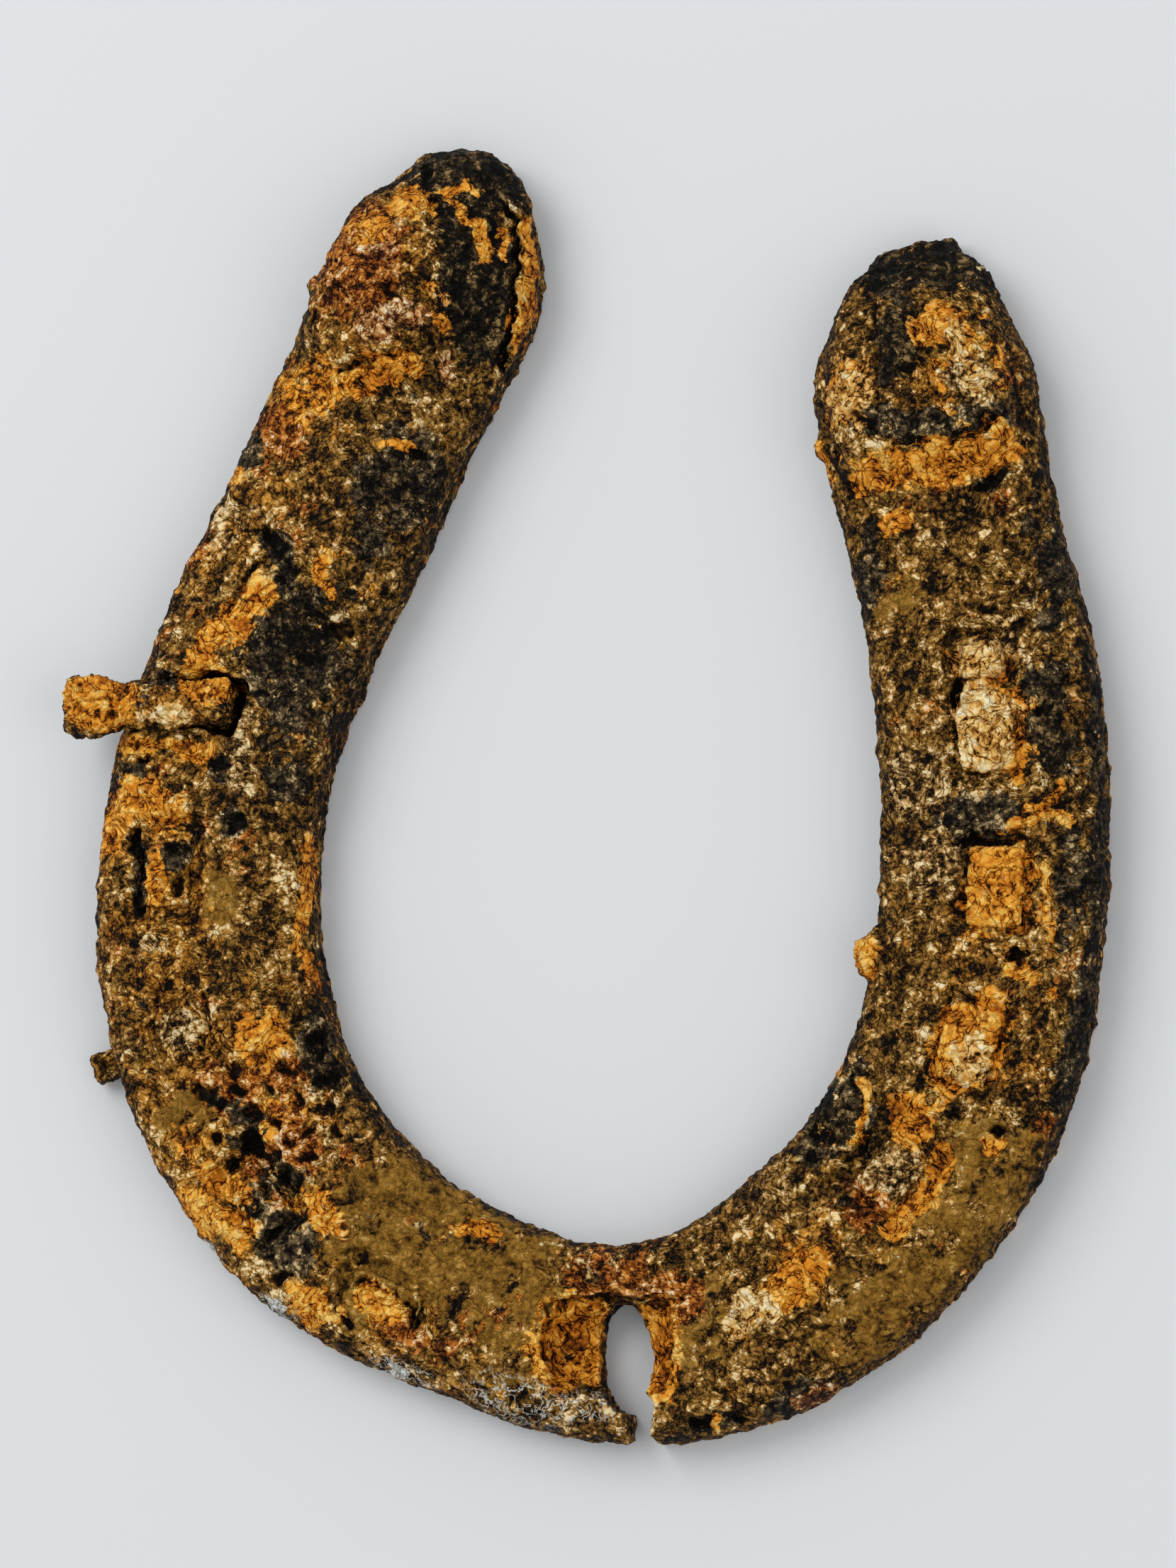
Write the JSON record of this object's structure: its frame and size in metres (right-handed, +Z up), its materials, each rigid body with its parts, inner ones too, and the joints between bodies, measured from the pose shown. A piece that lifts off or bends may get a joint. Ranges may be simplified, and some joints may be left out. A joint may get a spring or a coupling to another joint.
{
  "type": "rusty horseshoe",
  "caption": "Worn, heavily rusted horseshoe lying ground side up, with a raised calkin at each heel, a cracked toe hole and old nails rusted into its branches.",
  "frame": {"origin": "middle of the footprint's bounding box, on the plane the hoof side lies on", "axes": "+Y from the toe to the heels, +Z up out of the ground side, +X towards the short heel's branch"},
  "size_m": [0.116, 0.1446, 0.0138],
  "materials": {
    "rusted_iron": "rough, flaking rust",
    "nail_iron": "rough, flaking rust"
  },
  "bodies": {
    "root": {"shoe": "rusted_iron", "left_nail_1": "nail_iron", "left_nail_2": "nail_iron", "left_nail_3": "nail_iron", "left_nail_4": "nail_iron", "left_nail_5": "nail_iron", "right_nail_1": "nail_iron", "right_nail_1_chip": "nail_iron", "right_nail_2": "nail_iron", "right_nail_3": "nail_iron", "right_nail_4": "nail_iron", "right_nail_5": "nail_iron"}
  },
  "joints": []
}
